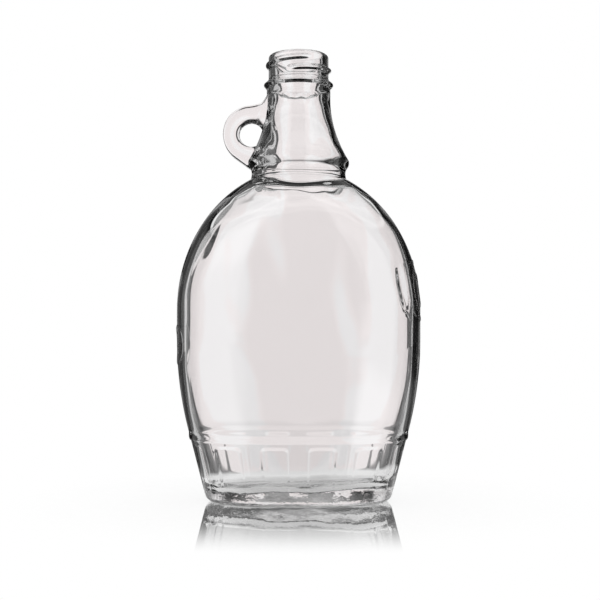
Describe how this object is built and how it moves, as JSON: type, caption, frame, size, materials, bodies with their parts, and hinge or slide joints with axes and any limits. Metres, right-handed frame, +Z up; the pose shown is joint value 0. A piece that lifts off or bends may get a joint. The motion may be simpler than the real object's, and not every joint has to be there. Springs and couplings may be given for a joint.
{
  "type": "glass syrup flask",
  "caption": "Clear glass bottle with a broad flat oval body, a panelled skirt, a bell-shaped neck with a small finger ring, and a threaded mouth for a screw cap.",
  "frame": {"origin": "middle of the flat ring that the bottle stands on, under the axis of the mouth, at the centre of the bounding box's bottom", "axes": "+Z up along the axis of the mouth, +X across the broad face with the finger ring on the -X side, -Y out of the front face"},
  "size_m": [0.1018, 0.054, 0.1849],
  "materials": {
    "flint_glass": "clear flint container glass, fire polished"
  },
  "bodies": {
    "root": {"base": "flint_glass", "skirt": "flint_glass", "ledge": "flint_glass", "body": "flint_glass", "shoulder": "flint_glass", "neck_collar": "flint_glass", "neck": "flint_glass", "transfer_bead": "flint_glass", "finish": "flint_glass", "screw_thread": "flint_glass", "finger_ring": "flint_glass", "side_marks": "flint_glass"}
  },
  "joints": []
}
